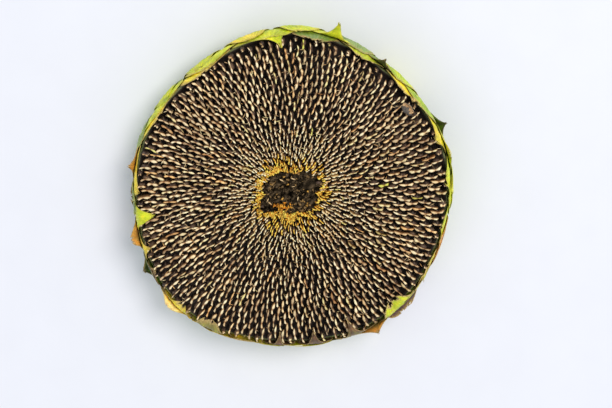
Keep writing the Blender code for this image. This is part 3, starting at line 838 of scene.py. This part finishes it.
# ----------------------------------------------------------
# The bracts
# Short green leaves in three rows hug the wall of the head, each row outside the last. They are
# fleshy and veined at the base, thin at the sides, and drying at their tips and edges.
# ----------------------------------------------------------
SIDE_GAP = 0.5                   # between the bracts of a row, in degrees
BASE_TAPER = 0.78                # width of a bract's base and of its tip, as a share of the widest
TIP_WIDTH = 0.03
STAND_OUT_DROP = 5 * MM          # a tip that stands out leaves the wall this far below the others
BRACT_GRID = (25, 33)
BRACT_HALF_THICKNESS = 0.33 * MM
FREE_FROM = 0.72                 # from this share of its length a bract's tip curls and ruffles
BULGE = {"inner": 0.0, "middle": 0.2, "outer": 0.7}     # how far a bract's middle swells out, in mm
PRESS = {"inner": 0.0, "middle": 0.7, "outer": 1.7}     # how far its tip is pressed to the next row

# leaf colours by name
LEAF = {
    "bright": (0.38, 0.53, 0.018), "lime": (0.60, 0.67, 0.015), "green": (0.19, 0.32, 0.018),
    "grey": (0.26, 0.37, 0.075), "dark": (0.045, 0.060, 0.010), "yellow": (0.86, 0.70, 0.035),
    "cream": (0.90, 0.82, 0.34), "tan": (0.66, 0.44, 0.12), "orange": (0.72, 0.35, 0.05),
    "brown": (0.15, 0.085, 0.035), "olive": (0.24, 0.21, 0.04), "violet": (0.20, 0.13, 0.12),
}
# Each row: distance out from the wall, height of the base, height where the tips leave the wall,
# and its bracts as (bearing, free length in mm, curl of the tip in degrees, sharpness, lean,
# colour of the body, colour of the tip, dryness of the edges). A tip with a positive curl folds
# over the seeds, one with a negative curl stands out.
BRACT_ROWS = {
    "inner": (0.85 * MM, 10 * MM, 39.5 * MM, (
        (5, 4, 30, 0.5, 1, "bright", "lime", 0.5), (21, 4, 55, 0.9, -1, "lime", "yellow", 0.6),
        (43, 3, 20, 0.5, 0, "lime", "yellow", 0.9), (62, 3, 15, 0.5, 2, "grey", "lime", 0.9),
        (81, 4, 25, 0.4, 0, "bright", "grey", 1.0), (100, 8, 90, 1.7, -7, "bright", "lime", 0.6),
        (124, 4, 25, 0.6, 1, "lime", "yellow", 0.9), (149, 3, 20, 0.5, 0, "lime", "yellow", 0.8),
        (176, 4, 60, 1.0, 4, "grey", "yellow", 0.5), (190, 15, 105, 0.9, -1, "lime", "lime", 0.4),
        (202, 7, 80, 1.3, 0, "green", "yellow", 0.7), (213, 5, 70, 1.1, -3, "green", "brown", 0.9),
        (226, 6, 75, 0.6, 1, "yellow", "yellow", 0.8), (240, 9, 90, 0.4, -2, "lime", "olive", 0.7),
        (255, 3, 20, 0.5, 0, "yellow", "yellow", 1.0), (266, 12, 100, 1.6, 0, "brown", "brown", 0.9),
        (278.5, 15, 100, 1.4, 1, "brown", "brown", 0.9), (293, 18, 108, 1.8, 1, "olive", "brown", 0.8),
        (313, 11, 78, 0.45, 0, "bright", "lime", 1.0), (330, 3, 20, 0.5, 1, "lime", "yellow", 0.9),
        (348, 4, 25, 0.6, -1, "bright", "lime", 0.6))),
    "middle": (2.05 * MM, 7 * MM, 37 * MM, (
        (13, 9, -40, 0.7, 0, "bright", "lime", 0.6), (35, 3, 5, 0.5, 1, "bright", "bright", 0.8),
        (55, 15, -72, 1.4, 0, "green", "dark", 0.5), (74, 24, -95, 1.6, 0, "lime", "lime", 0.4),
        (97, 4, 5, 0.35, 0, "bright", "lime", 0.5), (120, 5, 5, 0.7, 2, "lime", "lime", 0.7),
        (146, 3, 5, 0.5, 0, "bright", "lime", 0.4), (171, 11, -65, 1.5, 0, "tan", "orange", 0.8),
        (184, 3, 5, 0.7, 1, "grey", "grey", 0.4), (197, 13, -65, 0.6, 0, "tan", "orange", 0.9),
        (211, 4, 5, 0.9, 0, "green", "dark", 0.5), (224, 10, -50, 0.7, 0, "cream", "cream", 0.5),
        (246, 4, 5, 0.5, -1, "green", "yellow", 0.7), (270, 3, 5, 0.5, 0, "yellow", "lime", 0.6),
        (301.5, 13, -45, 1.6, 0, "olive", "orange", 0.9), (322, 3, 5, 0.5, 1, "green", "lime", 0.9),
        (342, 4, 5, 0.7, 0, "bright", "orange", 0.7), (358, 4, 5, 0.8, 0, "bright", "lime", 0.4))),
    "outer": (3.25 * MM, 5.5 * MM, 25 * MM, (
        (0, 12, 14, 0.6, 1, "bright", "lime", 0.4), (22.5, 13, -65, 1.6, 0, "green", "dark", 0.5),
        (46, 12, 18, 0.6, 1, "lime", "bright", 0.7), (66, 12, 18, 0.5, -1, "grey", "grey", 0.6),
        (87, 14, 12, 0.5, 0, "bright", "lime", 0.6), (106, 14, 14, 0.5, -3, "bright", "yellow", 0.5),
        (126, 12, 22, 0.6, 0, "bright", "lime", 0.6), (143, 12, 26, 0.6, 0, "bright", "lime", 0.3),
        (160, 10, 26, 0.7, 0, "bright", "grey", 0.3), (183, 6, -15, 0.8, 1, "grey", "brown", 0.8),
        (211, 13, -60, 1.4, 0, "green", "dark", 0.6), (236, 9, 12, 0.9, -2, "bright", "yellow", 0.6),
        (262, 10, 14, 0.6, 0, "lime", "yellow", 0.6), (289, 9, 16, 0.8, 0, "lime", "olive", 0.6),
        (313, 12, -12, 0.5, -1, "violet", "violet", 1.0), (338, 11, 14, 0.7, 0, "bright", "orange", 0.6))),
}

leaf_look, given, gives = new_group("leaf_look", "Across", "Along", "Leaf Color", "Dryness")
maths, blend = leaf_look.maths, leaf_look.blend
blotch = leaf_look.noise(110.0, 5.0, 0.62)
fleck = leaf_look.noise(380.0, 4.0, 0.6)
speckle = leaf_look.noise(1100.0, 3.0)
waver = maths("MULTIPLY_ADD", blotch, 2.2, maths("MULTIPLY", given["Across"], 34.0))
veins = maths("POWER", maths("MULTIPLY_ADD", maths("SINE", waver), 0.5, 0.5), 2.5)
shade = leaf_look.ramp(blotch, (0.30, (0.50, 0.55, 0.5)), (0.5, (1.0, 1.0, 1.0)), (0.70, (1.45, 1.32, 1.0)))
colour = blend(1.0, given["Leaf Color"], shade, "MULTIPLY")
colour = blend(maths("MULTIPLY", veins, 0.4), colour, (1.55, 1.5, 3.0), "MULTIPLY")
colour = blend(leaf_look.span(fleck, 0.48, 0.66, 0.5, "LINEAR"), colour, (1.45, 1.0, 1.2), "MULTIPLY")
# the sides and the tip dry in a band with an uneven border, and dark spots come with the dryness
to_edge = maths("MAXIMUM", maths("ABSOLUTE", given["Across"]), maths("POWER", given["Along"], 3.0))
edge = leaf_look.span(maths("MULTIPLY_ADD", maths("SUBTRACT", blotch, 0.5), 0.6, to_edge), 0.78, 1.0)
dry_mask = maths("MULTIPLY", edge, given["Dryness"])
dry_edge = leaf_look.ramp(speckle, (0.35, (0.20, 0.11, 0.045)), (0.5, (0.50, 0.33, 0.12)),
                          (0.65, (0.70, 0.52, 0.22)))
colour = blend(dry_mask, colour, dry_edge)
spots = maths("MULTIPLY", leaf_look.span(speckle, 0.62, 0.72, 0.5, "LINEAR"), given["Dryness"])
leaf_look.feed(gives["Color"], blend(spots, colour, (0.13, 0.07, 0.03)))
leaf_look.feed(gives["Roughness"], maths("MULTIPLY_ADD", dry_mask, 0.25, 0.5))
leaf_look.feed(gives["Height"], maths("MULTIPLY_ADD", veins, 0.6, maths("MULTIPLY", speckle, 0.5)))

bract_leaf, look = new_material("bract_leaf", Specular_IOR_Level=0.35)
inputs = {**look.own_inputs("Across", "Along", "Dryness"), "Leaf Color": look.own("leaf_colour", "Vector")}
look.wear_group(leaf_look, inputs, 0.6, 0.4 * MM)


def bract_middle(u, v, row, bract, left, right, wobble):
    """A bract's middle surface. v runs from its base up the head's wall, and then along an arc
    that leaves the wall at the tip's height and turns by the curl. u runs across it, between the
    bearings left and right, times a width that swells from the base and closes to the tip."""
    out, base_height, leave_height, _ = row
    centre, free, curl, sharpness, lean = bract[:5]
    free = free * MM
    start = np.interp(base_height, WALL_HEIGHT, ALONG)
    leave = np.interp(leave_height - STAND_OUT_DROP * (curl < 0), WALL_HEIGHT, ALONG)
    run = start + v * (leave - start + free)
    on_wall = np.minimum(run, leave)
    beyond = np.clip(run - leave, 0, None)
    turn = math.radians(curl) * beyond / free
    heading = np.interp(on_wall, ALONG, WALL_HEADING)
    chord = beyond * np.sinc(turn / 2 / math.pi)
    radius = np.interp(on_wall, ALONG, WALL_RADIUS) + chord * np.cos(heading + turn / 2)
    height = np.interp(on_wall, ALONG, WALL_HEIGHT) + chord * np.sin(heading + turn / 2)
    radius = radius + out * np.sin(heading + turn)
    height = height - out * np.cos(heading + turn)
    shoulder = max(0.45, (leave - start) / (leave - start + free) - 0.15)
    swell = BASE_TAPER + (1 - BASE_TAPER) * np.sin(0.5 * math.pi * np.minimum(v / 0.4, 1))
    close = (1 - np.clip((v - shoulder) / (1 - shoulder), 0, 1)) ** sharpness
    half = swell * np.maximum(close, TIP_WIDTH) * (1 + wobble)
    side = np.where(u < 0, centre - right, left - centre)
    degrees = centre + u * half * side + lean * (1 - close)
    return head_points(radius, np.radians(degrees), height)


def sheet_faces(columns, rows):
    """The faces of a thin closed blade: a front sheet, a back sheet and a strip round the edge."""
    index = np.arange(columns * rows).reshape(rows, columns)
    front = grid_faces(index)
    back = front[:, ::-1] + columns * rows
    rim = np.concatenate([index[0], index[1:, -1], index[-1, -2::-1], index[-2:0:-1, 0]])
    following = np.roll(rim, -1)
    strip = np.stack([following, rim, rim + columns * rows, following + columns * rows], axis=-1)
    return np.concatenate([front, back, strip]).tolist()


def sheet_normals(middle):
    """The unit normals of a sheet of points."""
    normal = np.cross(np.gradient(middle, axis=1), np.gradient(middle, axis=0))
    return normal / (np.linalg.norm(normal, axis=-1, keepdims=True) + 1e-12)


def two_sheets(middle, normal, half_thickness):
    """The front and the back of a thin blade from its middle."""
    offset = normal * half_thickness[..., None]
    return np.stack([middle + offset, middle - offset])


rng = np.random.default_rng(53)
u, v = np.meshgrid(np.linspace(-1, 1, BRACT_GRID[0]), np.linspace(0, 1, BRACT_GRID[1]))
u = np.sign(u) * (1 - (1 - np.abs(u)) ** 1.3)
bract_faces = sheet_faces(*BRACT_GRID)
free_part = np.clip((v - FREE_FROM) / (1 - FREE_FROM), 0, 1)
thick = BRACT_HALF_THICKNESS * (1 - 0.75 * np.abs(u) ** 3) * (1 - 0.55 * v) + 0.04 * MM
toward_base = 0.35 * np.clip(1 - v / 0.35, 0, 1)[..., None]
for row_name, row in BRACT_ROWS.items():
    bearings = [bract[0] for bract in row[3]]
    for i, bract in enumerate(row[3]):
        centre, _, curl, _, _, body, tip, dryness = bract
        left = centre + ((bearings[(i + 1) % len(bearings)] - centre) % 360 - SIDE_GAP) / 2
        right = centre - ((centre - bearings[i - 1]) % 360 - SIDE_GAP) / 2
        phase = rng.uniform(0, 2 * math.pi, 6)
        # the side edges wander and the top edge is notched, more so where the bract is dry
        wobble = (0.02 * np.sin(9 * v + phase[0] + u)
                  + dryness * 0.05 * np.sin(23 * v + phase[1] + 2 * u)) * v ** 2 - 0.02
        notches = (0.5 + 0.5 * np.sin(7 * u + phase[3]) + 0.6 * np.sin(19 * u + phase[0]) ** 2
                   + 0.5 * np.sin(43 * u + phase[1]) ** 2)
        cut_back = v * (1 - (0.015 + 0.03 * dryness) * notches)
        middle = bract_middle(u, cut_back, row, bract, left, right, wobble)
        normal = sheet_normals(middle)
        # ribs and slow waves over the whole blade, and curled sides and a ruffle on its free part
        ridges = (0.16 * np.cos(17 * u + phase[2]) * (1 - 0.5 * v) + 0.07 * np.cos(41 * u + phase[3])
                  + 0.22 * np.sin(13 * v + 2 * u + phase[4]) * np.sin(6 * u + phase[5]))
        side_curl = np.abs(u) ** 3 * free_part * rng.uniform(-0.5, 1.2) * (0.5 + dryness)
        ruffle = 0.35 * dryness * np.sin(14 * v + phase[4] + 3 * u) * u ** 2 * free_part
        bulge = BULGE[row_name] * rng.uniform(0.3, 1.0) * (1 - u ** 2) * np.sin(math.pi * v) ** 2
        press = PRESS[row_name] * free_part * (curl > 0)
        middle = middle + normal * ((0.06 + ridges + side_curl + ruffle + bulge - press) * MM)[..., None]
        toward_tip = np.clip((v - 0.60 + 0.08 * np.sin(6 * u + phase[5])) / 0.25, 0, 1)[..., None]
        colour = np.array(LEAF[body]) * (1 - toward_tip) + np.array(LEAF[tip]) * toward_tip
        colour = colour * (1 - toward_base) + np.array(LEAF["grey"]) * toward_base
        colour = colour * rng.uniform(0.9, 1.1)
        name = f"{row_name}_bract_{i + 1:02d}"
        add_piece(name + "_leaf", two_sheets(middle, normal, thick), bract_faces, bract_leaf,
                  {"across": np.tile(u.ravel(), 2), "along": np.tile(v.ravel(), 2),
                   "dryness": np.full(2 * u.size, dryness),
                   "leaf_colour": np.stack([colour, colour])}, replaces=[name])

# ----------------------------------------------------------
# The dried scrap
# A piece broken off a dry leaf lies curled on the seeds by the rim, grey-brown outside and tan
# inside, where it has kept some of its down.
# ----------------------------------------------------------
SCRAP_BEARING = math.radians(36.5)
SCRAP_RADIUS = 96.6 * MM
SCRAP_HALF_LENGTH = 4.4 * MM
SCRAP_ROLL = (2.9 * MM, 1.9 * MM)       # half depth and half height of the curl
SCRAP_EDGES = (95, -200)               # where the curl's upper and lower edges are, in degrees
SCRAP_HEIGHT = 44.2 * MM
SCRAP_GRID = (25, 25)
SCRAP_INSIDE, SCRAP_OUTSIDE = (0.62, 0.42, 0.22), (0.10, 0.085, 0.07)

u, v = np.meshgrid(np.linspace(-1, 1, SCRAP_GRID[0]), np.linspace(0, 1, SCRAP_GRID[1]))
ragged = 1 + 0.05 * np.sin(19 * v + 1) + 0.04 * np.sin(43 * v)
taper = (1 - 0.45 * u ** 2) * (1 + 0.06 * np.sin(6 * u + 1))
torn = (24 * np.sin(4 * u + 1) + 12 * np.sin(13 * u)) * (1 - v) ** 3
roll = np.radians(SCRAP_EDGES[0] + (SCRAP_EDGES[1] - SCRAP_EDGES[0]) * v + torn)
side = u * SCRAP_HALF_LENGTH * ragged
outwards = SCRAP_RADIUS - SCRAP_ROLL[0] * np.cos(roll) * taper
height = SCRAP_HEIGHT + SCRAP_ROLL[1] * np.sin(roll) * taper
middle = head_points(np.hypot(outwards, side), SCRAP_BEARING + np.arctan2(side, outwards), height)
scrap = two_sheets(middle, sheet_normals(middle), 0.22 * MM * (1 - 0.6 * np.abs(u) ** 3))

dry_leaf, look = new_material("dry_leaf", Roughness=0.85, Specular_IOR_Level=0.2)
mottle = look.noise(700.0, 5.0, 0.65)
mottled = look.ramp(mottle, (0.3, (0.45, 0.42, 0.40)), (0.5, (1.0, 1.0, 1.0)), (0.7, (1.7, 1.6, 1.45)))
look.wear(Base_Color=look.blend(1.0, look.own("leaf_colour", "Vector"), mottled, "MULTIPLY"))
look.relief(mottle, 0.8, 0.6 * MM)
add_piece("dried_scrap_leaf", scrap, sheet_faces(*SCRAP_GRID), dry_leaf,
          {"leaf_colour": np.repeat((SCRAP_OUTSIDE, SCRAP_INSIDE), u.size, axis=0)},
          replaces=["dried_scrap"])
